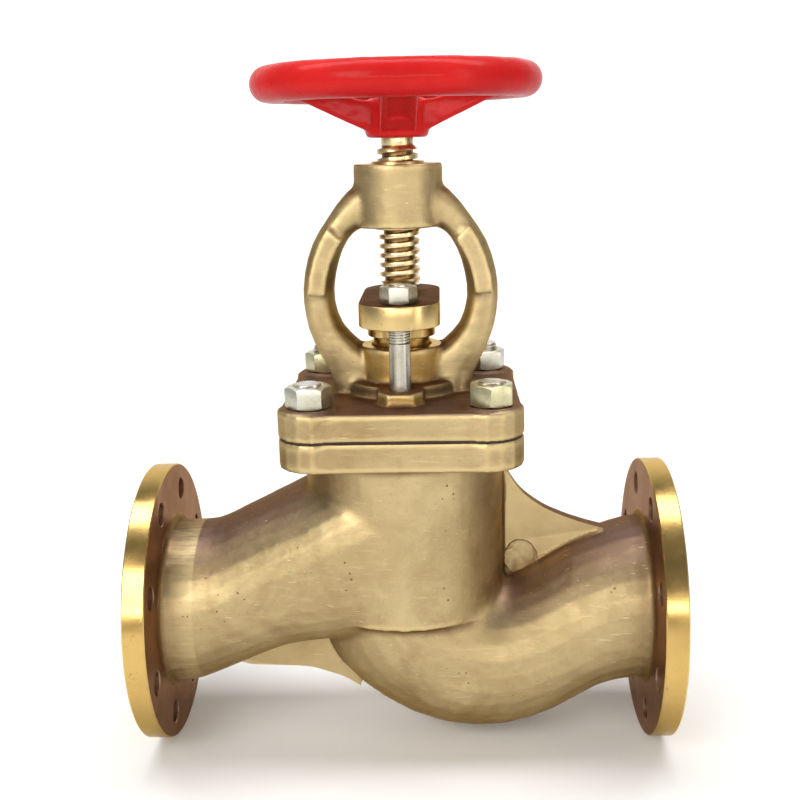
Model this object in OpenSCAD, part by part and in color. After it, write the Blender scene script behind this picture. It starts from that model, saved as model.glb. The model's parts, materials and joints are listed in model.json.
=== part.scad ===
// Flanged bronze globe valve with a bolted bonnet, outside yoke and rising stem.
// The frame's origin is the centre of the inlet flange's face. +X points out of the inlet, +Z up the stem.
// Parts are drawn about the valve centre, where the pipe axis meets the stem axis, by at_centre().

/* [Pipe ends] */
// Distance between the two flange faces
face_to_face = 410; // [400:1:414]
// Diameter of each pipe flange
flange_d = 220; // [214:1:228]
// Thickness of each pipe flange
flange_t = 17; // [14:1:20]
// Diameter of the circle through the bolt holes
bolt_circle_d = 180; // [176:1:184]
// Diameter of each flange bolt hole
bolt_hole_d = 18; // [14:1:20]
// Number of bolt holes in each flange
bolt_count = 8; // [4:4:12]
// Diameter of the straight bore at each flange
bore_d = 100; // [96:1:102]

/* [Bonnet joint] */
// Width of the square body and bonnet flanges
cover_w = 180; // [178:1:182]
// Height of the body flange's top face above the pipe axis
body_top_z = 152; // [150:1:154]
// Thickness of the bonnet's flange
bonnet_t = 20; // [18:1:21]
// Distance of each bonnet stud from the stem axis, along X and along Y
stud_offset = 66; // [65:0.5:67]
// Diameter of the bonnet studs
stud_d = 20; // [16:1:20]
// Width across flats of the bonnet nuts
stud_nut_af = 30; // [28:1:32]

/* [Stem and gland] */
// Diameter of the plain stem
stem_d = 24; // [22:0.5:25]
// Outside diameter of the stem's thread
thread_d = 30.6; // [30:0.1:32]
// Travel of the disc from shut to fully open
lift = 28; // [20:1:28]
// Distance of each gland stud from the stem axis
gland_stud_y = 45; // [44:0.5:46]
// Diameter of the gland studs
gland_stud_d = 16; // [14:1:16]

/* [Handwheel] */
// Outside diameter of the handwheel
wheel_d = 214; // [200:1:216]
// Thickness of the handwheel's rim
rim_d = 26; // [22:1:28]
// Number of handwheel spokes
spoke_count = 4; // [3:1:6]
// Width of each spoke
spoke_w = 24; // [16:1:26]

/* [Hidden] */
$fn = 64;

bronze = [0.80, 0.68, 0.42];
machined_bronze = [0.86, 0.70, 0.36];
plated_steel = [0.72, 0.72, 0.66];
wheel_red = [0.80, 0.10, 0.10];
fibre = [0.25, 0.24, 0.22];

// Facets round each cast loft, outside and inside
skin_sides = 32;
passage_sides = 24;
arm_sides = 24;
arm_squareness = 2.7;
// Clearance on radius between a turning or sliding shaft and its hole
running_gap = 0.05;
// Clearance on radius where a shaft only passes through
free_gap = 0.4;
// Clearance on radius between pieces that are fixed together
snug_gap = 0.02;
// How far a cut runs past the surface it opens
past = 1;

half_length = face_to_face / 2;
neck_r = 65;
flange_inner_x = half_length - flange_t;
bore_depth = 36;

chamber_outer_r = 77;
chamber_r = 64;
chamber_foot_z = 3;
floor_z = 12;
body_flange_t = 22;
corner_r = 28;
corner_centre = cover_w / 2 - corner_r;
// The flange's sides are drawn in a little between its corner lobes
side_draw = 2;

seat_sleeve_r = 54;
seat_flange_r = 58;
seat_top_z = 16;

gasket_t = 1.4;
bonnet_z = body_top_z + gasket_t;
bonnet_top_z = bonnet_z + bonnet_t;
pad_h = 1.7;
pad_r = 20;
spigot_r = 63.4;
spigot_z = 141;
stud_nut_h = 16;
stud_nut_z = bonnet_top_z + pad_h;

round_boss_r = 43;
round_boss_z = 183;
hub_r = 31.5;
hub_top_z = 209;
box_r = 22;
box_floor_z = 150;
boss_r = 33;
boss_z = [298.5, 345];
bush_r = 20;
bush_lip = 1.5;
grub_r = 3;
grub_z = 322;
// How far the grub screw sits below the boss's side, and how far it reaches into the bush
grub_sunk = 1.5;
grub_bite = 1.5;

packing_section = 8.8;
packing_count = 5;
packing_base_h = 6;
gland_nose_z = box_floor_z + packing_base_h + packing_count * packing_section;
gland_collar_r = 26;
gland_collar_z = 216;
gland_z = [229.2, 246.5];
gland_nut_h = 13;
gland_nut_af = 24;
gland_end_y = 37;
gland_end_r = 30;

stem_r = stem_d / 2;
button_z = [47.1, 51.8];
collar_r = 17;
collar_z = [96, 103];
// The stem's collar stops just short of this seat at full lift
back_seat_z = collar_z[1] + lift + 0.5;
thread_z = [255, 358];
square_w = 17;
square_z = [366, 392.5];
stem_top_z = 412;
stem_end_d = 16;

wheel_z = 403;
wheel_hub_r = 23;
wheel_hub_z = [363.5, 392.5];
rim_centre_r = wheel_d / 2 - rim_d / 2;
spoke_turn = 4;

// ---------- shared shapes ----------

module at_centre() {
    translate([-half_length, 0, 0]) children();
}

// A rod along +X from x0 to x1
module rod_x(r, x0, x1) {
    translate([x0, 0, 0]) rotate([0, 90, 0]) cylinder(r = r, h = x1 - x0);
}

// A rod along +Z from z[0] to z[1]
module rod_z(r, z) {
    translate([0, 0, z[0]]) cylinder(r = r, h = z[1] - z[0]);
}

module hex(af, h) {
    cylinder(d = af / cos(30), h = h, $fn = 6);
}

// A hexagon nut with its corners turned off at both ends
module hex_nut(af, h, hole_r) {
    bevel = af * 0.075;
    difference() {
        intersection() {
            hex(af, h);
            rotate_extrude() polygon([
                [0, 0], [af / 2, 0], [af / 2 + 2 * bevel, bevel],
                [af / 2 + 2 * bevel, h - bevel], [af / 2, h], [0, h]
            ]);
        }
        translate([0, 0, -past]) cylinder(r = hole_r, h = h + 2 * past);
    }
}

// A headless screw with a hexagon socket in the end at z = 0
module socket_screw(r, h) {
    difference() {
        cylinder(r = r, h = h);
        translate([0, 0, -past]) hex(r, r + past);
    }
}

// A stud with chamfered ends
module stud(r, z) {
    rotate_extrude() polygon([
        [0, z[0]], [r - 1.5, z[0]], [r, z[0] + 1.5], [r, z[1] - 1.5], [r - 1.5, z[1]], [0, z[1]]
    ]);
}

// The outline of a part by its corners, from [x, y, radius, first angle, last angle] for each
function arcs(corners, steps = 6) = [
    for (c = corners, i = [0 : steps])
        let (angle = c[3] + (c[4] - c[3]) * i / steps)
        [c[0] + c[2] * cos(angle), c[1] + c[2] * sin(angle)]
];

// Square flange whose corners stand out as lobes past its drawn-in sides
module cover_outline(inset = 0) {
    reach = acos((corner_r - side_draw) / corner_r);
    r = corner_r - inset;
    polygon(arcs([
        for (q = [0 : 3])
            let (turn = 90 * q, diagonal = corner_centre * sqrt(2))
            [
                diagonal * cos(turn + 45), diagonal * sin(turn + 45), r,
                turn - reach, turn + 90 + reach
            ]
    ]));
}

module at_studs(offset = stud_offset) {
    for (x = [-offset, offset], y = [-offset, offset])
        translate([x, y, 0]) children();
}

// Value t of the way from b to c on a smooth curve through a, b, c and d
function smooth_between(a, b, c, d, t) =
    0.5 * (2 * b + (c - a) * t + (2 * a - 5 * b + 4 * c - d) * t * t
    + (3 * b - a - 3 * c + d) * t * t * t);

function smooth_path(s, steps) = [
    for (i = [0 : len(s) - 2], k = [0 : steps - 1])
        smooth_between(s[max(i - 1, 0)], s[i], s[i + 1], s[min(i + 2, len(s) - 1)], k / steps),
    s[len(s) - 1]
];

// One ring of a loft. A station is [x and z of one side, x and z of the other side, half width in Y, power].
// power 2 is an ellipse, and more is squarer.
function ring(s, sides) = [
    for (k = [0 : sides - 1])
        let (
            angle = 360 * k / sides,
            across = sign(cos(angle)) * pow(abs(cos(angle)), 2 / s[5]),
            wide = sign(sin(angle)) * pow(abs(sin(angle)), 2 / s[5])
        )
        [
            (s[0] + s[2]) / 2 + (s[0] - s[2]) / 2 * across,
            s[4] * wide,
            (s[1] + s[3]) / 2 + (s[1] - s[3]) / 2 * across
        ]
];

// Closed tube through the stations. Stations run so that side one is on the left of the way ahead.
module loft(stations, sides, steps) {
    rings = [for (s = smooth_path(stations, steps)) ring(s, sides)];
    last = len(rings) - 1;
    walls = [
        for (i = [0 : last - 1], k = [0 : sides - 1])
            let (n = (k + 1) % sides, a = i * sides, b = a + sides)
            each [[a + k, a + n, b + k], [a + n, b + n, b + k]]
    ];
    first_cap = [for (k = [sides - 1 : -1 : 0]) k];
    last_cap = [for (k = [0 : sides - 1]) last * sides + k];
    polyhedron([for (r = rings) each r], concat([first_cap], walls, [last_cap]));
}

function mirror_x(stations) = [for (s = stations) [-s[2], s[3], -s[0], s[1], s[4], s[5]]];

// The stations with one power for all
function with_power(stations, power) = [for (s = stations) [s[0], s[1], s[2], s[3], s[4], power]];

// ---------- body ----------

// Outlet leg: from the outlet flange, widening and squaring into the chamber
outlet_leg = [
    [-198, 65, -198, -65, 65, 2], [-174, 64.5, -174, -65, 65, 2], [-152, 66, -158, -60, 65, 2],
    [-131, 75, -128, -46.5, 66, 2.1], [-105, 87, -93, -31, 69, 2.3], [-78, 99, -62, -24, 73, 2.6],
    [-45, 116, -38, -18, 76, 3], [0, 128, 0, -12, 76.6, 3.4]
];
outlet_passage = [
    [-172, 49, -172, -49, 49], [-150, 52, -154, -43, 50], [-128, 61, -125, -30, 51],
    [-102, 71, -91, -13, 54], [-76, 79, -63, 12.5, 55], [-20, 84, -20, 22, 46]
];

// Inlet leg: from the inlet flange down round the bowl and up below the seat
inlet_leg = [
    [198, -65, 198, 65, 65], [176, -65.5, 176, 63, 65], [149, -72, 154, 56, 65],
    [113, -93, 130, 47, 66], [72, -105, 109, 34.5, 68], [24, -102, 93, 25, 69],
    [-22, -80, 84, 21, 69], [-54, -51, 78, 24, 69], [-67, -22, 75, 34, 69], [-70, 12, 73, 55, 69]
];
inlet_passage = [
    [172, -49, 172, 49, 49], [150, -56, 155, 43, 50], [116, -78, 131, 33, 52],
    [73, -90, 111, 18, 54], [28, -87, 93, 4, 55], [-12, -71, 78, -12, 55],
    [-44, -48, 64, -20, 53], [-50, -28, 54, -19, 51], [-49, -8, 49, -8, 49]
];

module pipe_flange() {
    difference() {
        rod_x(flange_d / 2, flange_inner_x, half_length);
        for (i = [0 : bolt_count - 1])
            rotate([(i + 0.5) * 360 / bolt_count, 0, 0])
                translate([0, bolt_circle_d / 2, 0])
                    rod_x(bolt_hole_d / 2, flange_inner_x - past, half_length + past);
    }
}

// Flat stiffening webs in the crooks between the legs and the chamber
module webs() {
    web_t = 11;
    rotate([90, 0, 0]) linear_extrude(web_t, center = true) {
        polygon([
            [60, 122], [80, 106], [91, 90], [107, 77], [123, 69], [139, 63], [156, 58],
            [150, 30], [100, 0], [60, 20]
        ]);
        polygon([
            [-142, -52], [-130, -56], [-107, -57], [-82, -58.5], [-66, -63], [-53, -68],
            [-40, -76], [-20, -40], [-60, 10], [-130, 0]
        ]);
    }
}

// The cast skin is one mesh: a resize of zero keeps every size and joins the lofts
module cast_skin() {
    resize([0, 0, 0]) union() {
        loft(outlet_leg, skin_sides, 2);
        loft(with_power(inlet_leg, 2), skin_sides, 2);
        rod_z(chamber_outer_r, [chamber_foot_z, body_top_z - 2]);
        webs();
    }
}

module body() {
    color(bronze) at_centre() difference() {
        union() {
            cast_skin();
            pipe_flange();
            mirror([1, 0, 0]) pipe_flange();
            translate([0, 0, body_top_z - body_flange_t]) linear_extrude(body_flange_t) cover_outline();
        }
        loft(with_power(outlet_passage, 2), passage_sides, 2);
        loft(with_power(inlet_passage, 2), passage_sides, 2);
        rod_x(bore_d / 2, half_length - bore_depth, half_length + past);
        mirror([1, 0, 0]) rod_x(bore_d / 2, half_length - bore_depth, half_length + past);
        rod_z(chamber_r, [floor_z, body_top_z + past]);
        rod_z(seat_sleeve_r + 0.1, [-10, floor_z + past]);
        at_studs() rod_z(stud_d / 2 + snug_gap, [body_top_z - body_flange_t - past, body_top_z + past]);
    }
}

module seat_ring() {
    color(machined_bronze) at_centre() rotate_extrude() polygon([
        [bore_d / 2, -8], [seat_sleeve_r, -8], [seat_sleeve_r, floor_z], [seat_flange_r, floor_z],
        [seat_flange_r, seat_top_z - 1], [seat_flange_r - 1, seat_top_z], [bore_d / 2 + 2, seat_top_z],
        [bore_d / 2, seat_top_z - 3]
    ]);
}

// ---------- bonnet ----------

// One yoke arm, from the foot beside the hub up to the boss
yoke_arm = [
    [-52, 171, -20, 171, 19], [-55, 186, -18, 200, 18], [-63, 202, -31, 210, 17.5],
    [-70.5, 221, -44.5, 224, 17], [-74, 243, -50.5, 243, 17], [-72.5, 265, -49, 263, 17],
    [-65.5, 287, -43, 282, 17], [-53.5, 306, -34, 295, 18], [-38, 325, -22, 299.5, 20],
    [-18, 338, -10, 301, 22]
];

module yoke_arms() {
    arm = with_power(yoke_arm, arm_squareness);
    resize([0, 0, 0]) union() {
        loft(arm, arm_sides, 2);
        loft(mirror_x(arm), arm_sides, 2);
    }
}

// Half-hexagon lug that carries a gland stud, drawn on the -Y side
module gland_lug() {
    translate([0, 0, bonnet_z + 5]) linear_extrude(round_boss_z - bonnet_z - 5) polygon([
        [-16.5, -30], [-16.5, -56], [-9.4, -65], [9.4, -65], [16.5, -56], [16.5, -30]
    ]);
}

module both_y() {
    children();
    mirror([0, 1, 0]) children();
}

module bonnet() {
    color(bronze) at_centre() difference() {
        union() {
            translate([0, 0, bonnet_z]) linear_extrude(bonnet_t) cover_outline();
            at_studs() rod_z(pad_r, [bonnet_z + 2, stud_nut_z]);
            rod_z(spigot_r, [spigot_z, bonnet_z + 2]);
            rod_z(round_boss_r, [bonnet_z + 4, round_boss_z]);
            both_y() gland_lug();
            rod_z(hub_r, [bonnet_z + 3, hub_top_z]);
            yoke_arms();
            rod_z(boss_r, boss_z);
        }
        rod_z(box_r, [box_floor_z, hub_top_z + past]);
        rod_z(bush_r - 2, [spigot_z - past, box_floor_z + past]);
        rod_z(bush_r, [boss_z[0] - past, boss_z[1] + past]);
        at_studs() rod_z(stud_d / 2 + 1, [bonnet_z - past, stud_nut_z + past]);
        for (y = [-gland_stud_y, gland_stud_y])
            translate([0, y, 0]) rod_z(gland_stud_d / 2 + snug_gap, [bonnet_z + 3.2, round_boss_z + past]);
        translate([0, boss_r + past, grub_z]) rotate([90, 0, 0])
            cylinder(r = grub_r + snug_gap, h = boss_r - bush_r + 3);
    }
}

module bonnet_gasket() {
    color(fibre) at_centre() translate([0, 0, body_top_z]) linear_extrude(gasket_t) difference() {
        cover_outline(1.2);
        circle(r = chamber_r);
        at_studs() circle(r = stud_d / 2 + 1);
    }
}

module bonnet_studs() {
    stud_foot_z = body_top_z - body_flange_t + 0.5;
    nut_top_z = stud_nut_z + stud_nut_h;
    color(plated_steel) at_centre() for (x = [-stud_offset, stud_offset]) {
        translate([x, -stud_offset, 0]) stud(stud_d / 2, [stud_foot_z, nut_top_z + 1.5]);
        translate([x, stud_offset, 0]) stud(stud_d / 2, [stud_foot_z, nut_top_z + 5.5]);
    }
}

module bonnet_nuts() {
    turns = [8, 27, 2, 17];
    places = [[-1, -1], [1, -1], [-1, 1], [1, 1]];
    color(plated_steel) at_centre() for (i = [0 : 3])
        translate([places[i][0] * stud_offset, places[i][1] * stud_offset, stud_nut_z])
            rotate(turns[i]) hex_nut(stud_nut_af, stud_nut_h, stud_d / 2 + snug_gap);
}

module yoke_bush() {
    color(machined_bronze) at_centre() difference() {
        rod_z(bush_r - snug_gap, [boss_z[0] - bush_lip, boss_z[1] + bush_lip]);
        rod_z(thread_d / 2 + running_gap, [boss_z[0] - 3, boss_z[1] + 3]);
        translate([0, bush_r + past, grub_z]) rotate([90, 0, 0])
            cylinder(r = grub_r + snug_gap, h = grub_bite + past + 0.5);
    }
}

module bush_grub_screw() {
    length = boss_r - grub_sunk - bush_r + grub_bite;
    color(plated_steel) at_centre() translate([0, boss_r - grub_sunk, grub_z]) rotate([90, 0, 0])
        socket_screw(grub_r, length);
}

module back_seat_bush() {
    color(machined_bronze) at_centre() rotate_extrude() polygon([
        [stem_r + free_gap, 137], [collar_r + 0.5, back_seat_z], [bush_r + 6, back_seat_z],
        [bush_r + 6, spigot_z], [bush_r - 2, spigot_z], [bush_r - 2, box_floor_z - 0.5],
        [stem_r + free_gap, box_floor_z - 0.5]
    ]);
}

// ---------- packing and gland ----------

module packing_base_ring() {
    color(machined_bronze) at_centre() rotate_extrude() polygon([
        [stem_r + free_gap, box_floor_z], [box_r - 0.05, box_floor_z],
        [box_r - 0.05, box_floor_z + packing_base_h], [stem_r + free_gap, box_floor_z + packing_base_h - 2.5]
    ]);
}

module packing_rings() {
    first_z = box_floor_z + packing_base_h;
    width = box_r - 0.05 - stem_r - 0.3;
    color(fibre) at_centre() for (i = [0 : packing_count - 1])
        translate([0, 0, first_z + i * packing_section + 0.15]) rotate_extrude()
            translate([stem_r + 0.3, 0]) square([width, packing_section - 0.3]);
}

module gland() {
    flange_ends = [
        [0, gland_end_y, gland_end_r, 0, 180], [0, -gland_end_y, gland_end_r, 180, 360]
    ];
    color(bronze) at_centre() difference() {
        union() {
            rod_z(box_r - 0.3, [gland_nose_z, gland_z[0] + 2]);
            rod_z(gland_collar_r, [gland_collar_z, gland_z[0] + 2]);
            translate([0, 0, gland_z[0]]) linear_extrude(gland_z[1] - gland_z[0])
                polygon(arcs(flange_ends, 16));
        }
        rod_z(stem_r + free_gap, [gland_nose_z - past, gland_z[1] + past]);
        for (y = [-gland_stud_y, gland_stud_y])
            translate([0, y, 0]) rod_z(gland_stud_d / 2 + 0.8, [gland_z[0] - past, gland_z[1] + past]);
    }
}

module gland_stud(y) {
    color(plated_steel) at_centre() translate([0, y, 0])
        stud(gland_stud_d / 2, [bonnet_z + 4, gland_z[1] + gland_nut_h + 1]);
}

module gland_stud_front() {
    gland_stud(-gland_stud_y);
}

module gland_stud_back() {
    gland_stud(gland_stud_y);
}

module gland_nut(y, turn) {
    color(plated_steel) at_centre() translate([0, y, gland_z[1]]) rotate(turn)
        hex_nut(gland_nut_af, gland_nut_h, gland_stud_d / 2 + running_gap);
}

module gland_nut_front() {
    gland_nut(-gland_stud_y, 3);
}

module gland_nut_back() {
    gland_nut(gland_stud_y, 19);
}

// ---------- disc ----------

disc_r = 57;
disc_hub_r = 32;
disc_hub_top_z = 60;
pocket_r = 18;
pocket_floor_z = 44;
nut_thread_r = 23;
nut_seat_z = 52.2;
lock_r = 2.5;
lock_z = 56;

module disc() {
    color(bronze) at_centre() difference() {
        rotate_extrude() polygon([
            [0, 10], [44, 10], [46, 12], [46, seat_top_z], [disc_r, seat_top_z], [disc_r, 30],
            [disc_r - 3, 33], [disc_hub_r + 6, 36], [disc_hub_r, 42], [disc_hub_r, disc_hub_top_z],
            [0, disc_hub_top_z]
        ]);
        rod_z(pocket_r, [pocket_floor_z, nut_seat_z + past]);
        rod_z(nut_thread_r, [nut_seat_z, disc_hub_top_z + past]);
        translate([0, -disc_hub_r - past, lock_z]) rotate([-90, 0, 0])
            cylinder(r = lock_r + snug_gap, h = 13);
    }
}

module disc_thrust_pad() {
    color(plated_steel) at_centre() rod_z(pocket_r - 1, [pocket_floor_z, button_z[0] - 0.1]);
}

module disc_retaining_nut() {
    color(machined_bronze) at_centre() difference() {
        union() {
            rod_z(nut_thread_r - snug_gap, [nut_seat_z, disc_hub_top_z + 0.5]);
            translate([0, 0, disc_hub_top_z]) hex_nut(50, 9, stem_r);
        }
        rod_z(stem_r + free_gap, [nut_seat_z - past, disc_hub_top_z + 10]);
        translate([0, -nut_thread_r - past, lock_z]) rotate([-90, 0, 0])
            cylinder(r = lock_r + snug_gap, h = 4);
    }
}

module disc_lock_screw() {
    color(plated_steel) at_centre() translate([0, -disc_hub_r + 0.5, lock_z]) rotate([-90, 0, 0])
        socket_screw(lock_r, 11);
}

// ---------- stem and handwheel ----------

module stem() {
    end_r = stem_end_d / 2;
    core_r = thread_d / 2 - 3.3;
    color(machined_bronze) at_centre() {
        rotate_extrude() polygon([
            [0, button_z[0]], [15.5, button_z[0]], [16.5, button_z[0] + 1], [16.5, button_z[1]],
            [stem_r, button_z[1]], [stem_r, collar_z[0] - 3], [collar_r, collar_z[0]],
            [collar_r, collar_z[1]], [stem_r, collar_z[1] + 5], [stem_r, thread_z[0] - 3],
            [core_r, thread_z[0] - 3], [thread_d / 2, thread_z[0]], [thread_d / 2, thread_z[1] - 3],
            [stem_r, thread_z[1]], [stem_r, square_z[0]], [end_r, square_z[0]],
            [end_r, stem_top_z - 2], [end_r - 2, stem_top_z], [0, stem_top_z]
        ]);
        translate([0, 0, square_z[0] - 1]) intersection() {
            translate([-square_w / 2, -square_w / 2, 0])
                cube([square_w, square_w, square_z[1] - square_z[0] + 1]);
            cylinder(r = 11, h = 60);
        }
    }
}

// One spoke along +X, sloping up from the hub to the rim, with a shallow channel underneath
module spoke() {
    rotate([90, 0, 0]) difference() {
        linear_extrude(spoke_w, center = true) polygon([
            [12, 367], [wheel_hub_r, 368.5], [rim_centre_r - 8, 397], [rim_centre_r, 399],
            [rim_centre_r, 408], [rim_centre_r - 10, 407], [wheel_hub_r + 6, 391], [12, 389]
        ]);
        linear_extrude(spoke_w - 10, center = true) polygon([
            [wheel_hub_r + 4, 360], [wheel_hub_r + 4, 374], [rim_centre_r - 16, 397],
            [rim_centre_r - 16, 380]
        ]);
    }
}

module handwheel() {
    square_hole = square_w + 2 * snug_gap;
    color(wheel_red) at_centre() difference() {
        union() {
            translate([0, 0, wheel_z]) rotate_extrude() translate([rim_centre_r, 0]) circle(d = rim_d);
            rotate_extrude() polygon([
                [0, wheel_hub_z[0]], [wheel_hub_r - 1.5, wheel_hub_z[0]],
                [wheel_hub_r, wheel_hub_z[0] + 1.5], [wheel_hub_r, wheel_hub_z[1] - 3],
                [wheel_hub_r - 3, wheel_hub_z[1]], [0, wheel_hub_z[1]]
            ]);
            for (i = [0 : spoke_count - 1])
                rotate(spoke_turn + i * 360 / spoke_count) spoke();
        }
        translate([0, 0, square_z[0] - 0.5 + 20]) cube([square_hole, square_hole, 40], center = true);
        rod_z(stem_r + snug_gap, [wheel_hub_z[0] - past, square_z[0]]);
    }
}

module handwheel_washer() {
    color(plated_steel) at_centre() translate([0, 0, wheel_hub_z[1]]) difference() {
        cylinder(r = 15, h = 2.5);
        translate([0, 0, -past]) cylinder(r = stem_end_d / 2 + 0.5, h = 5);
    }
}

module handwheel_nut() {
    color(plated_steel) at_centre() translate([0, 0, wheel_hub_z[1] + 2.5]) rotate(12)
        hex_nut(24, 13, stem_end_d / 2 + snug_gap);
}

body();
seat_ring();
bonnet();
bonnet_gasket();
bonnet_studs();
bonnet_nuts();
yoke_bush();
bush_grub_screw();
back_seat_bush();
packing_base_ring();
packing_rings();
gland();
gland_stud_front();
gland_stud_back();
gland_nut_front();
gland_nut_back();
disc();
disc_thrust_pad();
disc_retaining_nut();
disc_lock_screw();
stem();
handwheel();
handwheel_washer();
handwheel_nut();
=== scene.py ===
"""The looks of a flanged bronze globe valve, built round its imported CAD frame."""
import json
import math

import bmesh
import bpy
import numpy as np
from mathutils import Matrix, Vector, noise
from mathutils.bvhtree import BVHTree

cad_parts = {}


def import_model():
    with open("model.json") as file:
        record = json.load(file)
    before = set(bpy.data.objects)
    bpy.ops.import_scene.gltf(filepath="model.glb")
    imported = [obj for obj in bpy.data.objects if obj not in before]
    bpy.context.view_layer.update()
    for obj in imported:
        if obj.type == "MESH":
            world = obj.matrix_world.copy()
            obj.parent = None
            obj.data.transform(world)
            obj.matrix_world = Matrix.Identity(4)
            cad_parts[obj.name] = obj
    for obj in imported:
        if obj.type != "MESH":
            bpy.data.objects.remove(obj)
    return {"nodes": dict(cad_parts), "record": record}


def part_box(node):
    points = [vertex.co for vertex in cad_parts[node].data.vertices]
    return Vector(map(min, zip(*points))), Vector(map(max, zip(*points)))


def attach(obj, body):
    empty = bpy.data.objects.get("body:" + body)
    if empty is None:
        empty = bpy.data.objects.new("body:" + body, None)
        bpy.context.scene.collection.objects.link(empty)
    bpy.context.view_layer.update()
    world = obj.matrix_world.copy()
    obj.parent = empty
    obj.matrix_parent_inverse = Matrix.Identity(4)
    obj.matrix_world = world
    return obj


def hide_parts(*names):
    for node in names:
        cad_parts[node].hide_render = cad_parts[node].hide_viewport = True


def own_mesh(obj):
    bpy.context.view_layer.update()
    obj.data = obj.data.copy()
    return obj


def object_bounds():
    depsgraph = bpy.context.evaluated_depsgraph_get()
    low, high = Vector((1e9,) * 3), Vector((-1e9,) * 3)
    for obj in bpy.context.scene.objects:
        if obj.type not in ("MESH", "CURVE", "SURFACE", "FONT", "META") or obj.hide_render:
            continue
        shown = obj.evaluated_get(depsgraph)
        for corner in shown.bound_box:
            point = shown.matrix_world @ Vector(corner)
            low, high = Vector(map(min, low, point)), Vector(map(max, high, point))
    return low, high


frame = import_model()
cad_low, cad_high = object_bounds()

MM = 0.001

# ---------- places and sizes in mm, from the frame or as in the CAD ----------

stem_low, stem_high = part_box("stem")
STEM_X = (stem_low.x + stem_high.x) / 2
HALF_LENGTH = -STEM_X / MM
FLANGE_R = (cad_high.y - cad_low.y) / 2 / MM
FLANGE_T = 17.0
BOLT_CIRCLE_R = frame["record"]["mounts"][0]["dims"]["pcd_mm"] / 2
BOLT_HOLE_R = frame["record"]["mounts"][0]["dims"]["hole_r_mm"]
BOLT_COUNT = frame["record"]["mounts"][0]["dims"]["count"]
BORE_R = 50.0
NECK_R = 65.0
# The root of the fillet between neck and flange, and a size that clears the whole flange
ROOT_R = NECK_R + 5.0
CLEAR_R = 140
CLEAR_X = 230
# Where the filed band on the inlet neck starts
NECK_BAND_X = 163.0
# The lower edge of the round chamber, below which painted shade is put
CHAMBER_FOOT_Z = 3.0
WEB_HALF = 5.85
# The middle of the stub on the outlet web, in X and Z
PATCH = (91.0, 35.0)
LIFT_PER_TURN = 7.0
STUD_OFFSET = 66.0
GLAND_STUD_Y = 45.0
SPOKES = 4
SPOKE_TURN = 4.0
# Crest radius, root radius and pitch of the bonnet's and the gland's studs
BONNET_THREAD = (9.97, 8.7, 2.5)
GLAND_THREAD = (7.97, 6.8, 2.0)
# Faces that meet at more degrees than this stay sharp
SHARP_ANGLE = 38


def top_mm(node):
    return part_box(node)[1].z / MM


def bottom_mm(node):
    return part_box(node)[0].z / MM


# ---------- mesh tools ----------

def link(name, mesh):
    obj = bpy.data.objects.new(name, mesh)
    bpy.context.scene.collection.objects.link(obj)
    return obj


def at_centre(point):
    """A point in mm about the valve centre, as metres in the row frame."""
    return Vector((point[0] * MM + STEM_X, point[1] * MM, point[2] * MM))


def mesh_object(name, points, faces):
    """A mesh from points in mm about the valve centre."""
    mesh = bpy.data.meshes.new(name)
    mesh.from_pydata([at_centre(p) for p in points], [], faces)
    tool = bmesh.new()
    tool.from_mesh(mesh)
    bmesh.ops.remove_doubles(tool, verts=tool.verts, dist=1e-7)
    bmesh.ops.recalc_face_normals(tool, faces=tool.faces)
    tool.to_mesh(mesh)
    tool.free()
    return link(name, mesh)


def lathe(name, profile, segments=96, centre=(0, 0), along="z", flip=1):
    """A closed profile of (radius, height) pairs turned round a line along Z or X."""
    points, rings = [], []
    for r, h in profile:
        ring = []
        for k in range(segments if r > 0 else 1):
            a = 2 * math.pi * k / segments
            if along == "z":
                points.append((centre[0] + r * math.cos(a), centre[1] + r * math.sin(a), h))
            else:
                points.append((flip * h, centre[0] + r * math.cos(a), centre[1] + r * math.sin(a)))
            ring.append(len(points) - 1)
        rings.append(ring)
    faces = []
    for i, ring in enumerate(rings):
        after = rings[(i + 1) % len(rings)]
        if len(ring) == 1 and len(after) == 1:
            continue
        for k in range(segments):
            n = (k + 1) % segments
            corners = [ring[k % len(ring)], ring[n % len(ring)], after[n % len(after)], after[k % len(after)]]
            faces.append(list(dict.fromkeys(corners)))
    return mesh_object(name, points, faces)


def prism(name, outline, low, high):
    """A flat outline in X and Y, from height low to height high."""
    n = len(outline)
    points = [(x, y, low) for x, y in outline] + [(x, y, high) for x, y in outline]
    faces = [list(range(n))[::-1], list(range(n, 2 * n))]
    faces += [[k, (k + 1) % n, n + (k + 1) % n, n + k] for k in range(n)]
    return mesh_object(name, points, faces)


def rod(name, r, low, high, centre=(0, 0), segments=64):
    return lathe(name, [(0, low), (r, low), (r, high), (0, high)], segments, centre)


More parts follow.
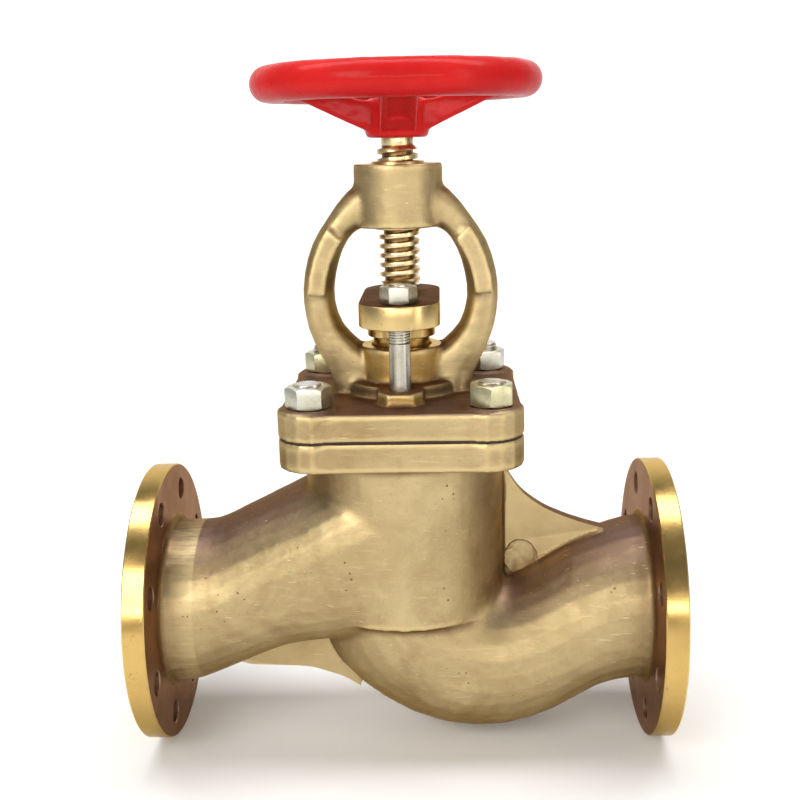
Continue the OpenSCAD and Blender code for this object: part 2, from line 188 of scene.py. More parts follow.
def thread_rod(name, crest_r, root_r, pitch, low, high, centre=(0, 0), shape=(0.28, 0.40, 0.88), columns=64,
               fade=3.0):
    """A closed rod with a true right-hand helical thread. shape is where in each turn the root ends, and
    where the crest starts and ends. fade is the length in mm over which the thread runs out at each end."""
    ends = [(0.0, 0), (shape[0], 0), (shape[1], 1), (shape[2], 1)]
    per_turn = len(ends)
    turns = int((high - low) / pitch) + 3
    rows = turns * per_turn
    points = []
    for m in range(rows):
        share, crest = ends[m % per_turn]
        for i in range(columns):
            z = low - pitch + pitch * (m // per_turn + share + i / columns)
            inside = min(max(min((z - low) / fade, (high - z) / fade), 0), 1)
            r = root_r + (crest_r - root_r) * crest * inside
            a = 2 * math.pi * i / columns
            points.append((centre[0] + r * math.cos(a), centre[1] + r * math.sin(a), min(max(z, low), high)))

    def index(i, m):
        return (m + per_turn) * columns if i == columns else m * columns + i

    faces = []
    for m in range(rows - 1):
        for i in range(columns):
            if i + 1 == columns and m + 1 + per_turn >= rows:
                continue
            faces.append([index(i, m), index(i + 1, m), index(i + 1, m + 1), index(i, m + 1)])
    obj = mesh_object(name, points, faces)
    tool = bmesh.new()
    tool.from_mesh(obj.data)
    bmesh.ops.remove_doubles(tool, verts=tool.verts, dist=2e-6)
    bmesh.ops.dissolve_degenerate(tool, edges=tool.edges, dist=2e-6)
    flat = [f for f in tool.faces if f.calc_area() < 1e-12]
    bmesh.ops.delete(tool, geom=flat, context="FACES")
    rim = [e for e in tool.edges if e.is_boundary]
    bmesh.ops.holes_fill(tool, edges=rim, sides=0)
    bmesh.ops.recalc_face_normals(tool, faces=tool.faces)
    tool.to_mesh(obj.data)
    tool.free()
    return obj


def evaluated(obj):
    """The object's mesh with its modifiers applied."""
    graph = bpy.context.evaluated_depsgraph_get()
    mesh = bpy.data.meshes.new_from_object(obj.evaluated_get(graph))
    old = obj.data
    obj.modifiers.clear()
    obj.data = mesh
    bpy.data.meshes.remove(old)
    return obj


def combine(obj, other, operation):
    """A boolean of two closed meshes. The second is used up."""
    step = obj.modifiers.new("combine", "BOOLEAN")
    step.object = other
    step.operation = operation
    step.solver = "MANIFOLD"
    evaluated(obj)
    bpy.data.objects.remove(other)
    return obj


def join(name, objs):
    """Separate closed meshes as one object, with nothing merged."""
    tool = bmesh.new()
    for o in objs:
        tool.from_mesh(o.data)
        bpy.data.objects.remove(o)
    mesh = bpy.data.meshes.new(name)
    tool.to_mesh(mesh)
    tool.free()
    return link(name, mesh)


def remesh(obj, voxel):
    step = obj.modifiers.new("voxels", "REMESH")
    step.mode = "VOXEL"
    step.voxel_size = voxel * MM
    return evaluated(obj)


def bevel(obj, width, segments, angle):
    step = obj.modifiers.new("bevel", "BEVEL")
    step.width = width * MM
    step.segments = segments
    step.limit_method = "ANGLE"
    step.angle_limit = math.radians(angle)
    step.use_clamp_overlap = True
    return evaluated(obj)


def read_points(mesh):
    co = np.empty(len(mesh.vertices) * 3, np.float32)
    mesh.vertices.foreach_get("co", co)
    return co.reshape(-1, 3).astype(float)


def write_points(mesh, co):
    mesh.vertices.foreach_set("co", co.astype(np.float32).ravel())
    mesh.update()


def read_normals(mesh):
    normals = np.empty(len(mesh.vertices) * 3, np.float32)
    mesh.vertex_normals.foreach_get("vector", normals)
    return normals.reshape(-1, 3).astype(float)


def centred(co):
    """Points in mm about the valve centre."""
    return co / MM - np.array((STEM_X / MM, 0, 0))


def ramp_between(values, low, high):
    t = np.clip((values - low) / (high - low), 0, 1)
    return t * t * (3 - 2 * t)


class Neighbours:
    """Averages a value over each vertex's neighbours."""

    def __init__(self, mesh):
        edges = np.empty(len(mesh.edges) * 2, np.int32)
        mesh.edges.foreach_get("vertices", edges)
        self.a, self.b = edges.reshape(-1, 2).T
        self.n = len(mesh.vertices)
        self.count = np.maximum(
            np.bincount(self.a, minlength=self.n) + np.bincount(self.b, minlength=self.n), 1)

    def mean(self, values):
        out = np.empty_like(values)
        for c in range(values.shape[1]):
            v = values[:, c]
            out[:, c] = (np.bincount(self.a, v[self.b], self.n) + np.bincount(self.b, v[self.a], self.n))
        return out / self.count[:, None]


def cast_finish(obj, fillet_rounds, soft=None):
    """Takes the voxel steps off, then fills the inside corners with fillets as a casting has.
    soft says how much of the fillet each place gets."""
    even_rounds, even_step, fillet_step = 3, 0.55, 0.6
    hollow_mm, least_share = 0.012, 0.05
    near = Neighbours(obj.data)
    co = read_points(obj.data)
    amount = fillet_step if soft is None else fillet_step * soft(centred(co))[:, None]
    for _ in range(even_rounds):
        co += even_step * (near.mean(co) - co)
    for k in range(fillet_rounds):
        if k % 4 == 0:
            write_points(obj.data, co)
            normals = read_normals(obj.data)
        step = near.mean(co) - co
        outward = np.sum(step * normals, axis=1, keepdims=True)
        outward = near.mean(near.mean(outward))
        share = np.clip(outward / (hollow_mm * MM), least_share, 1)
        co += amount * share * step
    write_points(obj.data, co)


def roughen(obj, layers, seed):
    """Moves the skin in and out by layers of noise, each (size in mm, height in mm)."""
    co = read_points(obj.data)
    normals = read_normals(obj.data)
    shift = np.zeros(len(co))
    for size, height in layers:
        scaled = co / (size * MM) + seed
        shift += height * MM * np.array([noise.noise(Vector(p)) for p in scaled])
    write_points(obj.data, co + normals * shift[:, None])


def store(obj, name, values):
    """Keeps a number from 0 to 1 on each vertex for a material to read."""
    mesh = obj.data
    layer = mesh.attributes.get(name) or mesh.attributes.new(name, "FLOAT", "POINT")
    layer.data.foreach_set("value", np.clip(values, 0, 1).astype(np.float32))


def wear_masks(obj, rounds=10, placed_shade=None):
    """Stores how far each vertex stands proud of the smoothed skin (edge) or lies below it, as painted shade
    in hollows (cavity). The optional function given last adds more painted shade by place."""
    near = Neighbours(obj.data)
    co = read_points(obj.data)
    flat = co.copy()
    for _ in range(rounds):
        flat += 0.9 * (near.mean(flat) - flat)
    proud = np.sum((co - flat) * read_normals(obj.data), axis=1, keepdims=True) / MM
    proud = near.mean(proud)[:, 0]
    hollow_shade = 0 if placed_shade is None else placed_shade(centred(co))
    store(obj, "edge", proud)
    store(obj, "cavity_shade", np.clip(-proud, 0, 1) + hollow_shade)


def shade(obj, angle):
    """Smooth shading with sharp edges where faces meet at more than the angle."""
    tool = bmesh.new()
    tool.from_mesh(obj.data)
    limit = math.radians(angle)
    for f in tool.faces:
        f.smooth = True
    for e in tool.edges:
        e.smooth = not (len(e.link_faces) == 2 and e.calc_face_angle(0) > limit)
    tool.to_mesh(obj.data)
    tool.free()


def paint_faces(obj, materials, choose):
    """Gives each face the material whose index choose(centres, normals) returns. Centres are in mm about the
    valve centre."""
    mesh = obj.data
    mesh.materials.clear()
    for m in materials:
        mesh.materials.append(m)
    n = len(mesh.polygons)
    centres, normals = np.empty(n * 3, np.float32), np.empty(n * 3, np.float32)
    mesh.polygons.foreach_get("center", centres)
    mesh.polygons.foreach_get("normal", normals)
    index = choose(centred(centres.reshape(-1, 3)), normals.reshape(-1, 3)).astype(np.int32)
    mesh.polygons.foreach_set("material_index", index)


def cad_copy(node, name):
    obj = link(name, frame["nodes"][node].data.copy())
    obj.data.materials.clear()
    tool = bmesh.new()
    tool.from_mesh(obj.data)
    bmesh.ops.remove_doubles(tool, verts=tool.verts, dist=1e-6)
    tool.to_mesh(obj.data)
    tool.free()
    return obj


# ---------- materials ----------

class Finish:
    """A Principled material with a few short ways to add procedural detail."""

    def __init__(self, name, metallic=1.0, **sockets):
        self.material = bpy.data.materials.new(name)
        self.material.use_nodes = True
        self.tree = self.material.node_tree
        self.shader = self.tree.nodes["Principled BSDF"]
        self.shader.inputs["Metallic"].default_value = metallic
        for key, value in sockets.items():
            self.shader.inputs[key.replace("_", " ")].default_value = value
        self.place = self.tree.nodes.new("ShaderNodeTexCoord").outputs["Object"]
        self.normal = None

    def node(self, kind, **settings):
        made = self.tree.nodes.new(kind)
        for key, value in settings.items():
            setattr(made, key, value)
        return made

    def wire(self, source, target):
        self.tree.links.new(source, target)

    def stretched(self, scale, centre=(0, 0, 0)):
        """The place, scaled along each axis and then moved."""
        made = self.node("ShaderNodeMapping")
        made.inputs["Scale"].default_value = scale
        made.inputs["Location"].default_value = centre
        self.wire(self.place, made.inputs["Vector"])
        return made.outputs["Vector"]

    def cloud(self, per_metre, detail=4.0, roughness=0.55, distortion=0.0, place=None):
        made = self.node("ShaderNodeTexNoise")
        made.inputs["Scale"].default_value = per_metre
        made.inputs["Detail"].default_value = detail
        made.inputs["Roughness"].default_value = roughness
        made.inputs["Distortion"].default_value = distortion
        self.wire(place or self.place, made.inputs["Vector"])
        return made.outputs["Fac"]

    def cells(self, per_metre):
        made = self.node("ShaderNodeTexVoronoi", feature="F1")
        made.inputs["Scale"].default_value = per_metre
        self.wire(self.place, made.inputs["Vector"])
        return made.outputs["Distance"]

    def ramp(self, source, *stops):
        """Stops are (place, value) or (place, colour)."""
        made = self.node("ShaderNodeValToRGB")
        band = made.color_ramp
        while len(band.elements) < len(stops):
            band.elements.new(0.5)
        for element, (place, value) in zip(band.elements, stops):
            element.position = place
            element.color = (*value, 1) if isinstance(value, tuple) else (value, value, value, 1)
        self.wire(source, made.inputs["Fac"])
        return made.outputs["Color"]

    def mix(self, factor, first, second):
        made = self.node("ShaderNodeMix", data_type="RGBA")
        for value, socket in ((factor, made.inputs[0]), (first, made.inputs[6]), (second, made.inputs[7])):
            if isinstance(value, bpy.types.NodeSocket):
                self.wire(value, socket)
            elif isinstance(value, tuple):
                socket.default_value = (*value, 1)
            else:
                socket.default_value = value
        return made.outputs[2]

    def math(self, operation, first, second=0.0):
        made = self.node("ShaderNodeMath", operation=operation)
        for value, socket in ((first, made.inputs[0]), (second, made.inputs[1])):
            if isinstance(value, bpy.types.NodeSocket):
                self.wire(value, socket)
            else:
                socket.default_value = value
        return made.outputs["Value"]

    def stored(self, name):
        made = self.node("ShaderNodeAttribute", attribute_name=name)
        return made.outputs["Fac"]

    def facing(self, low, high, amount, down=False):
        """How far the surface faces up (or down), as a share from 0 to amount."""
        made = self.node("ShaderNodeSeparateXYZ")
        self.wire(self.tree.nodes["Texture Coordinate"].outputs["Normal"], made.inputs[0])
        height = self.math("MULTIPLY", made.outputs["Z"], -1.0) if down else made.outputs["Z"]
        return self.ramp(height, (low, 0.0), (high, amount))

    def radius(self, along="x"):
        """Distance from the pipe's axis, or from the stem's."""
        made = self.node("ShaderNodeVectorMath", operation="MULTIPLY")
        made.inputs[1].default_value = (0, 1, 1) if along == "x" else (1, 1, 0)
        shifted = self.stretched((1, 1, 1), (0, 0, 0) if along == "x" else (-STEM_X, 0, 0))
        self.wire(shifted, made.inputs[0])
        length = self.node("ShaderNodeVectorMath", operation="LENGTH")
        self.wire(made.outputs["Vector"], length.inputs[0])
        return length.outputs["Value"]

    def lines(self, value, per_metre):
        """Fine tool marks that run where value is constant."""
        made = self.node("ShaderNodeTexNoise", noise_dimensions="1D")
        made.inputs["Scale"].default_value = per_metre
        made.inputs["Detail"].default_value = 3.0
        self.wire(value, made.inputs["W"])
        return made.outputs["Fac"]

    def colour(self, source):
        self.wire(source, self.shader.inputs["Base Color"])

    def rough(self, source):
        self.wire(source, self.shader.inputs["Roughness"])

    def bump(self, source, height_mm, strength=1.0):
        made = self.node("ShaderNodeBump")
        made.inputs["Strength"].default_value = strength
        made.inputs["Distance"].default_value = height_mm * MM
        self.wire(source, made.inputs["Height"])
        if self.normal is not None:
            self.wire(self.normal, made.inputs["Normal"])
        self.normal = made.outputs["Normal"]
        self.wire(self.normal, self.shader.inputs["Normal"])


def cast_bronze():
    f = Finish("cast_bronze", Specular_Tint=(0.60, 0.45, 0.30, 1))
    patches = f.cloud(11, 4, 0.55, 0.3)
    tone = f.ramp(patches, (0.30, (0.37, 0.275, 0.135)), (0.50, (0.475, 0.365, 0.19)),
                  (0.74, (0.56, 0.445, 0.245)))
    stain = f.ramp(f.cloud(17, 5, 0.62, 0.8), (0.50, 0.0), (0.68, 0.55))
    tone = f.mix(stain, tone, (0.30, 0.195, 0.09))
    pale = f.ramp(f.cloud(23, 4, 0.6, 0.5), (0.56, 0.0), (0.74, 0.6))
    tone = f.mix(pale, tone, (0.62, 0.50, 0.28))
    tone = f.mix(f.stored("gilt"), tone, (0.50, 0.305, 0.085))
    speckle = f.ramp(f.cloud(520, 3, 0.6), (0.58, 0.0), (0.74, 0.35))
    tone = f.mix(speckle, tone, (0.27, 0.18, 0.09))
    smears = f.ramp(f.cloud(1, 3, 0.6, 0.0, f.stretched((60, 190, 420))), (0.57, 0.0), (0.72, 0.45))
    tone = f.mix(smears, tone, (0.60, 0.47, 0.25))
    edge = f.ramp(f.stored("edge"), (0.10, 0.0), (0.40, 0.6))
    tone = f.mix(edge, tone, (0.70, 0.55, 0.28))
    # Painted reflection: faces turned up are painted dark brown, as the dark above would show in them
    tone = f.mix(f.facing(0.50, 0.90, 0.90), tone, (0.185, 0.115, 0.095))
    # Painted shade: faces turned down are painted darker
    tone = f.mix(f.facing(0.35, 1.0, 0.40, down=True), tone, (0.22, 0.15, 0.075))
    streaks = f.ramp(f.cloud(1, 4, 0.7, 0.0, f.stretched((45, 330, 330))), (0.35, 0.25), (0.65, 0.80))
    tone = f.mix(f.math("MULTIPLY", f.stored("filed"), streaks), tone, (0.62, 0.49, 0.26))
    # Painted shade in hollows and at the places given to wear_masks
    hollow_shade = f.ramp(f.stored("cavity_shade"), (0.08, 0.0), (0.50, 0.75))
    tone = f.mix(hollow_shade, tone, (0.17, 0.10, 0.045))
    scratches = f.ramp(f.cloud(1, 1, 0.4, 0.0, f.stretched((34, 700, 1100))), (0.745, 0.0), (0.775, 0.8))
    tone = f.mix(scratches, tone, (0.78, 0.66, 0.40))
    pits = f.ramp(f.cells(150), (0.05, 1.0), (0.13, 0.0))
    few = f.ramp(f.cloud(26, 2), (0.58, 0.0), (0.64, 1.0))
    pits = f.mix(few, (0.0, 0.0, 0.0), pits)
    tone = f.mix(pits, tone, (0.13, 0.08, 0.04))
    f.colour(tone)
    f.rough(f.ramp(f.cloud(70, 4), (0.3, 0.41), (0.7, 0.56)))
    f.bump(f.cloud(1000, 4, 0.65), 0.08, 0.8)
    f.bump(f.cloud(260, 3, 0.6), 0.16, 0.6)
    f.bump(f.cloud(1, 3, 0.6, 0.0, f.stretched((70, 260, 420))), 0.16, 0.5)
    f.bump(f.math("MULTIPLY", pits, -1.0), 0.45, 0.9)
    f.bump(f.math("MULTIPLY", scratches, -1.0), 0.12, 0.8)
    return f.material


def turned(name, tone, dark, roughness, along, worn=0.6, edge_tint=(0.9, 0.8, 0.6, 1), under=0.0):
    """A turned surface. along is x or z where its tool marks are circles on a face square to that axis, and
    rim where they run round the flanges' edges. worn is how bright its edges are rubbed, and under is how
    much painted shade it gets where it faces down."""
    f = Finish(name, Specular_Tint=edge_tint)
    axes = f.node("ShaderNodeSeparateXYZ")
    f.wire(f.place, axes.inputs[0])
    marks = f.lines(axes.outputs["X"] if along == "rim" else f.radius(along), 2600)
    cloud = f.cloud(22, 4, 0.6, 0.5)
    colour = f.mix(f.ramp(cloud, (0.42, 0.0), (0.70, 1.0)), tone, dark)
    colour = f.mix(f.ramp(f.stored("edge"), (0.08, 0.0), (0.4, worn)), colour, (0.80, 0.62, 0.30))
    # Painted shade where the surface faces down
    colour = f.mix(f.facing(0.15, 0.75, under, down=True), colour, (0.17, 0.105, 0.035))
    spots = f.ramp(f.cloud(300, 2, 0.5), (0.66, 0.0), (0.72, 0.6))
    colour = f.mix(spots, colour, (0.30, 0.19, 0.09))
    f.colour(colour)
    f.rough(f.ramp(f.cloud(45, 4, 0.6), (0.3, roughness), (0.75, roughness + 0.14)))
    f.bump(marks, 0.05, 0.7)
    f.bump(f.cloud(500, 3), 0.04, 0.4)
    return f.material


def plated_steel(name, light, warm, roughness=0.26):
    f = Finish(name)
    tone = f.mix(f.ramp(f.cloud(14, 2), (0.44, 0.0), (0.58, 1.0)), light, warm)
    tone = f.mix(f.ramp(f.cloud(150, 4, 0.6), (0.5, 0.0), (0.75, 0.5)), tone, (0.32, 0.29, 0.20))
    tone = f.mix(f.ramp(f.cloud(700, 2), (0.68, 0.0), (0.74, 0.7)), tone, (0.16, 0.12, 0.07))
    f.colour(tone)
    f.rough(f.ramp(f.cloud(120, 4), (0.3, roughness), (0.7, roughness + 0.2)))
    f.bump(f.cloud(1, 3, 0.6, 0.0, f.stretched((300, 300, 2600))), 0.04, 0.5)
    f.bump(f.cloud(600, 3), 0.05, 0.5)
    return f.material


def red_paint():
    f = Finish("red_paint", metallic=0.0, Coat_Weight=0.08, Coat_Roughness=0.10, Specular_IOR_Level=0.05)
    tone = f.ramp(f.cloud(22, 4, 0.6), (0.3, (0.46, 0.012, 0.012)), (0.7, (0.58, 0.018, 0.016)))
    # Painted shade where the paint faces down
    tone = f.mix(f.facing(0.3, 1.0, 0.55, down=True), tone, (0.30, 0.005, 0.010))
    # Painted shade in hollows
    tone = f.mix(f.ramp(f.stored("cavity_shade"), (0.05, 0.0), (0.5, 0.75)), tone, (0.20, 0.003, 0.006))
    chipped = f.math("MULTIPLY", f.ramp(f.cloud(210, 5, 0.7), (0.62, 0.0), (0.64, 1.0)),
                     f.ramp(f.stored("edge"), (0.42, 0.0), (0.70, 1.0)))
    tone = f.mix(chipped, tone, (0.45, 0.36, 0.30))
    scuffs = f.ramp(f.cloud(1, 5, 0.7, 0.0, f.stretched((420, 420, 900))), (0.74, 0.0), (0.77, 0.5))
    tone = f.mix(scuffs, tone, (0.75, 0.36, 0.33))
    f.colour(tone)
    f.rough(f.ramp(f.cloud(75, 4, 0.6), (0.35, 0.26), (0.7, 0.42)))
    f.bump(f.cloud(110, 3, 0.5), 0.4, 0.5)
    f.bump(f.cloud(520, 2, 0.5), 0.06, 0.5)
    f.bump(f.math("MULTIPLY", chipped, -1.0), 0.12, 1.0)
    return f.material


def fibre(name, dark, light):
    f = Finish(name, metallic=0.0)
    f.colour(f.ramp(f.cloud(600, 5, 0.7), (0.35, dark), (0.7, light)))
    f.rough(f.ramp(f.cloud(300, 3), (0.3, 0.75), (0.7, 0.95)))
    f.bump(f.cloud(1400, 4, 0.7), 0.12, 0.9)
    return f.material


def bronze_stem():
    f = Finish("stem_bronze")
    tone = f.ramp(f.cloud(40, 4, 0.6, 0.6), (0.32, (0.40, 0.25, 0.09)), (0.60, (0.80, 0.58, 0.26)))
    # Painted shade in the thread's roots
    thread_shade = f.ramp(f.stored("cavity_shade"), (0.02, 0.0), (0.30, 0.9))
    tone = f.mix(thread_shade, tone, (0.16, 0.09, 0.035))
    tone = f.mix(f.ramp(f.stored("edge"), (0.04, 0.0), (0.28, 0.8)), tone, (0.93, 0.76, 0.44))
    f.colour(tone)
    f.rough(f.ramp(f.cloud(160, 4), (0.3, 0.24), (0.7, 0.42)))
    height = f.node("ShaderNodeSeparateXYZ")
    f.wire(f.place, height.inputs[0])
    f.bump(f.lines(height.outputs["Z"], 3200), 0.03, 0.6)
    f.bump(f.cloud(450, 3), 0.06, 0.5)
    return f.material


def plain_floor():
    f = Finish("floor", metallic=0.0, Roughness=0.9)
    f.colour(f.ramp(f.cloud(3, 3), (0.3, (0.90, 0.90, 0.90)), (0.7, (0.93, 0.93, 0.93))))
    return f.material


CAST = cast_bronze()
RIM = turned("turned_rim", (0.56, 0.34, 0.075), (0.43, 0.25, 0.055), 0.17, "rim", 0.3, under=0.6)
# The flange backs are the same turned bronze painted darker and browner, with a dull tint at grazing angles:
# a painted reflection of the dark surroundings
BACK_FACE = turned("turned_back", (0.38, 0.25, 0.17), (0.29, 0.18, 0.12), 0.30, "x",
                   worn=0.0, edge_tint=(0.50, 0.38, 0.32, 1))
PIPE_FACE = turned("turned_face", (0.66, 0.46, 0.19), (0.50, 0.33, 0.13), 0.26, "x")
TURNED = turned("turned_bronze", (0.55, 0.37, 0.14), (0.40, 0.26, 0.10), 0.24, "z")
GLAND_SIDE = turned("gland_side", (0.53, 0.35, 0.12), (0.38, 0.24, 0.08), 0.24, "z")
# The gland's top is the gland's bronze painted dark: a painted reflection of the dark above it
GLAND_TOP = turned("gland_top", (0.16, 0.10, 0.065), (0.12, 0.072, 0.048), 0.34, "z",
                   worn=0.0, edge_tint=(0.4, 0.3, 0.24, 1))
STEM = bronze_stem()
NUT_STEEL = plated_steel("plated_steel", (0.62, 0.61, 0.52), (0.56, 0.53, 0.33))
STUD_STEEL = plated_steel("stud_steel", (0.60, 0.58, 0.53), (0.50, 0.45, 0.33), 0.22)
RED = red_paint()
GASKET = fibre("gasket_fibre", (0.022, 0.014, 0.010), (0.06, 0.042, 0.030))
PACKING = fibre("packing_fibre", (0.02, 0.02, 0.02), (0.07, 0.07, 0.07))


def place(obj, body, slot, *nodes):
    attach(obj, body)
    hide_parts(*nodes)
    return obj


# ---------- body casting ----------

def bolt_pins(side):
    """Cutters for one flange's bolt holes, with an eased lip at each end."""
    pins = []
    for k in range(BOLT_COUNT):
        a = 2 * math.pi * (k + 0.5) / BOLT_COUNT
        centre = (BOLT_CIRCLE_R * math.cos(a), BOLT_CIRCLE_R * math.sin(a))
        low, high = HALF_LENGTH - FLANGE_T - 1, HALF_LENGTH + 1
        r, lip = BOLT_HOLE_R, 0.7
        pins.append(lathe("pin", [
            (0, low), (r + lip, low), (r + lip, low + 1), (r, low + 1 + lip), (r, high - 1 - lip),
            (r + lip, high - 1), (r + lip, high), (0, high)], 40, centre, "x", side))
    return join("pins", pins)


def flange_disc(side):
    """The turned flange, a chamfered disc with a few gasket grooves on its face."""
    back, face, r, inner = HALF_LENGTH - FLANGE_T - 0.1, HALF_LENGTH, FLANGE_R, BORE_R - 4
    grooves = []
    for g in (62, 66, 70, 74):
        grooves += [(g - 0.5, face), (g, face - 0.6), (g + 0.5, face)]
    return lathe("disc", [
        (inner, back), (r - 0.8, back), (r, back + 0.8), (r, face - 1.0), (r - 1.0, face),
        *reversed(grooves), (inner, face)], 192, (0, 0), "x", side)


# The visible edges of the two webs, in X and Z
OUTLET_WEB = [(72, 113), (80, 106), (91, 90), (107, 77), (123, 69), (139, 63), (156, 58)]
INLET_WEB = [(-142, -52), (-130, -56), (-107, -57), (-82, -58.5), (-66, -63), (-53, -68), (-40, -76)]


def curve_through(points):
    """A smooth line through every point."""
    steps = 6
    ends = [points[0], *points, points[-1]]
    line = []
    for k in range(1, len(ends) - 2):
        p0, p1, p2, p3 = (np.array(ends[k + m], float) for m in (-1, 0, 1, 2))
        for t in np.arange(steps) / steps:
            line.append(0.5 * (2 * p1 + (p2 - p0) * t + (2 * p0 - 5 * p1 + 4 * p2 - p3) * t ** 2
                               + (3 * p1 - p0 - 3 * p2 + p3) * t ** 3))
    line.append(np.array(points[-1], float))
    return [tuple(p) for p in line]


def crisp_web(body, edge, start_z, inner):
    """A flat web with a clean curved edge. start_z is a height outside the casting, past the edge, from
    which the web's hidden side is found. inner is one more hidden corner, or None."""
    sight = BVHTree.FromObject(body, bpy.context.evaluated_depsgraph_get())
    up = 1 if start_z < 0 else -1
    proud, sunk, clear = 0.6, 5, 3
    outline = [(x, z - up * proud) for x, z in curve_through(edge)]
    hidden = []
    for x, z in reversed(outline):
        hit = sight.ray_cast(at_centre((x, -WEB_HALF - clear, start_z)), Vector((0, 0, up)))[0]
        depth = hit.z / MM + up * sunk if hit else z
        hidden.append((x, max(depth, z + 1) if up > 0 else min(depth, z - 1)))
    if inner:
        hidden.append(inner)
    outline += hidden
    n = len(outline)
    points = [(x, y, z) for y in (-WEB_HALF, WEB_HALF) for x, z in outline]
    faces = [list(range(n)), list(range(n, 2 * n))[::-1]]
    faces += [[k, n + k, n + (k + 1) % n, (k + 1) % n] for k in range(n)]
    return mesh_object("web", points, faces)


def rough_patch():
    """The broken stub of a feeder left on the web in the outlet crook: a low round with an uneven face."""
    half_wide, half_tall, cell, grain = 13.6, 14.6, 17, 6
    proud, relief, sunk = 1.4, 0.7, 0.5
    tool = bmesh.new()
    bmesh.ops.create_icosphere(tool, subdivisions=6, radius=1)
    for v in tool.verts:
        n = v.co.normalized()
        r = 1 + 0.07 * noise.noise(Vector((n.x, 0, n.z)) * 2.6)
        x, z = half_wide * r * n.x, half_tall * r * n.z
        near, after = noise.voronoi(Vector((x / cell, z / cell, 2.4)))[0][:2]
        step = min((after - near) * 3, 1) + 0.45 * noise.noise(Vector((x / grain, z / grain, 5)))
        face = min(-n.y * 3, 1) * (proud + relief * step) if n.y < 0 else 0
        v.co = at_centre((PATCH[0] + x, -WEB_HALF + sunk - face + 3 * max(n.y, 0), PATCH[1] + z))
    mesh = bpy.data.meshes.new("patch")
    tool.to_mesh(mesh)
    tool.free()
    return link("patch", mesh)


def body_casting():
    body = cad_copy("body", "body_casting")
    upper = crisp_web(body, OUTLET_WEB, 116, (70, 30))
    lower = crisp_web(body, INLET_WEB, -120, None)
    remesh(body, 1.6)

    def soft(c):
        """Less fillet on the thin webs, at the pipe flanges and on the flange of the bonnet joint."""
        web = 0.12 + 0.88 * ramp_between(np.abs(c[:, 1]), 9, 30)
        neck = 1 - 0.7 * ramp_between(np.abs(c[:, 0]), 165, 180)
        cover = 1 - 0.7 * ramp_between(c[:, 2], 118, 128)
        return web * neck * cover

    cast_finish(body, 30, soft)
    roughen(body, [(45, 0.28), (14, 0.14), (4, 0.06)], 3.0)
    for part in (upper, lower, rough_patch()):
        combine(body, part, "UNION")
    back, inner = HALF_LENGTH - FLANGE_T, 30
    cut, lap = back - 1.6, back + 9
    for side in (-1, 1):
        outer = lathe("ring", [
            (ROOT_R, cut), (CLEAR_R, cut), (CLEAR_R, CLEAR_X), (inner, CLEAR_X), (inner, lap),
            (ROOT_R, lap)], 160, (0, 0), "x", side)
        combine(body, outer, "DIFFERENCE")
        combine(body, flange_disc(side), "UNION")
        bore = lathe("bore", [
            (0, 160), (BORE_R, 160), (BORE_R, HALF_LENGTH - 1), (BORE_R + 1.6, HALF_LENGTH + 0.6),
            (0, HALF_LENGTH + 0.6)], 128, (0, 0), "x", side)
        combine(body, bore, "DIFFERENCE")
        combine(body, bolt_pins(side), "DIFFERENCE")

    def placed_shade(c):
        """Painted shade below the chamber's lower edge, and along the low rim of the stub."""
        chamber_r, reach, stub_r = 66, 4.5, 18
        below = CHAMBER_FOOT_Z + 0.3 - c[:, 2]
        shelf = np.exp(-(below / reach) ** 2) * (below > -0.2) * (np.hypot(c[:, 0], c[:, 1]) > chamber_r)
        shelf *= ramp_between(c[:, 0], -52, -30) * (1 - ramp_between(c[:, 0], 46, 62))
        ring = np.hypot(c[:, 0] - PATCH[0], c[:, 2] - PATCH[1])
        stub = (ring < stub_r) & (c[:, 1] < -WEB_HALF - 0.03) & (c[:, 1] > -WEB_HALF - 0.7)
        return 0.4 * shelf + 0.5 * stub

    wear_masks(body, placed_shade=placed_shade)
    co = centred(read_points(body.data))
    band = ramp_between(-co[:, 0], NECK_BAND_X - 0.5, NECK_BAND_X + 0.5)
    store(body, "filed", band * (np.hypot(co[:, 1], co[:, 2]) > NECK_R - 5))
    # The webs' flat faces have no edges of their own to measure, so their wear is even and they get no
    # painted shade
    flat = np.abs(np.abs(co[:, 1]) - WEB_HALF) < 0.02
    for name, value in (("edge", 0.30), ("cavity_shade", 0.0)):
        stored = np.empty(len(co), np.float32)
        body.data.attributes[name].data.foreach_get("value", stored)
        store(body, name, np.where(flat, value, stored))
    shade(body, 35)

    def choose(c, n):
        """0 for the cast skin, 1 for a flange's rim, 2 for its back, 3 for its face and the bore."""
        out = np.zeros(len(c), int)
        across = np.hypot(c[:, 1], c[:, 2])
        flange = np.abs(c[:, 0]) > HALF_LENGTH - FLANGE_T - 0.4
        out[flange & (across > NECK_R + 4.5)] = 2
        out[flange & (across > FLANGE_R - 1.2)] = 1
        out[np.abs(c[:, 0]) > HALF_LENGTH - 1.2] = 3
        out[(across < BORE_R + 2.2) & (np.abs(c[:, 0]) > 165)] = 3
        return out

    paint_faces(body, [CAST, RIM, BACK_FACE, PIPE_FACE], choose)
    place(body, "valve_body", "cast_bronze", "body")


body_casting()

# ---------- bonnet casting ----------

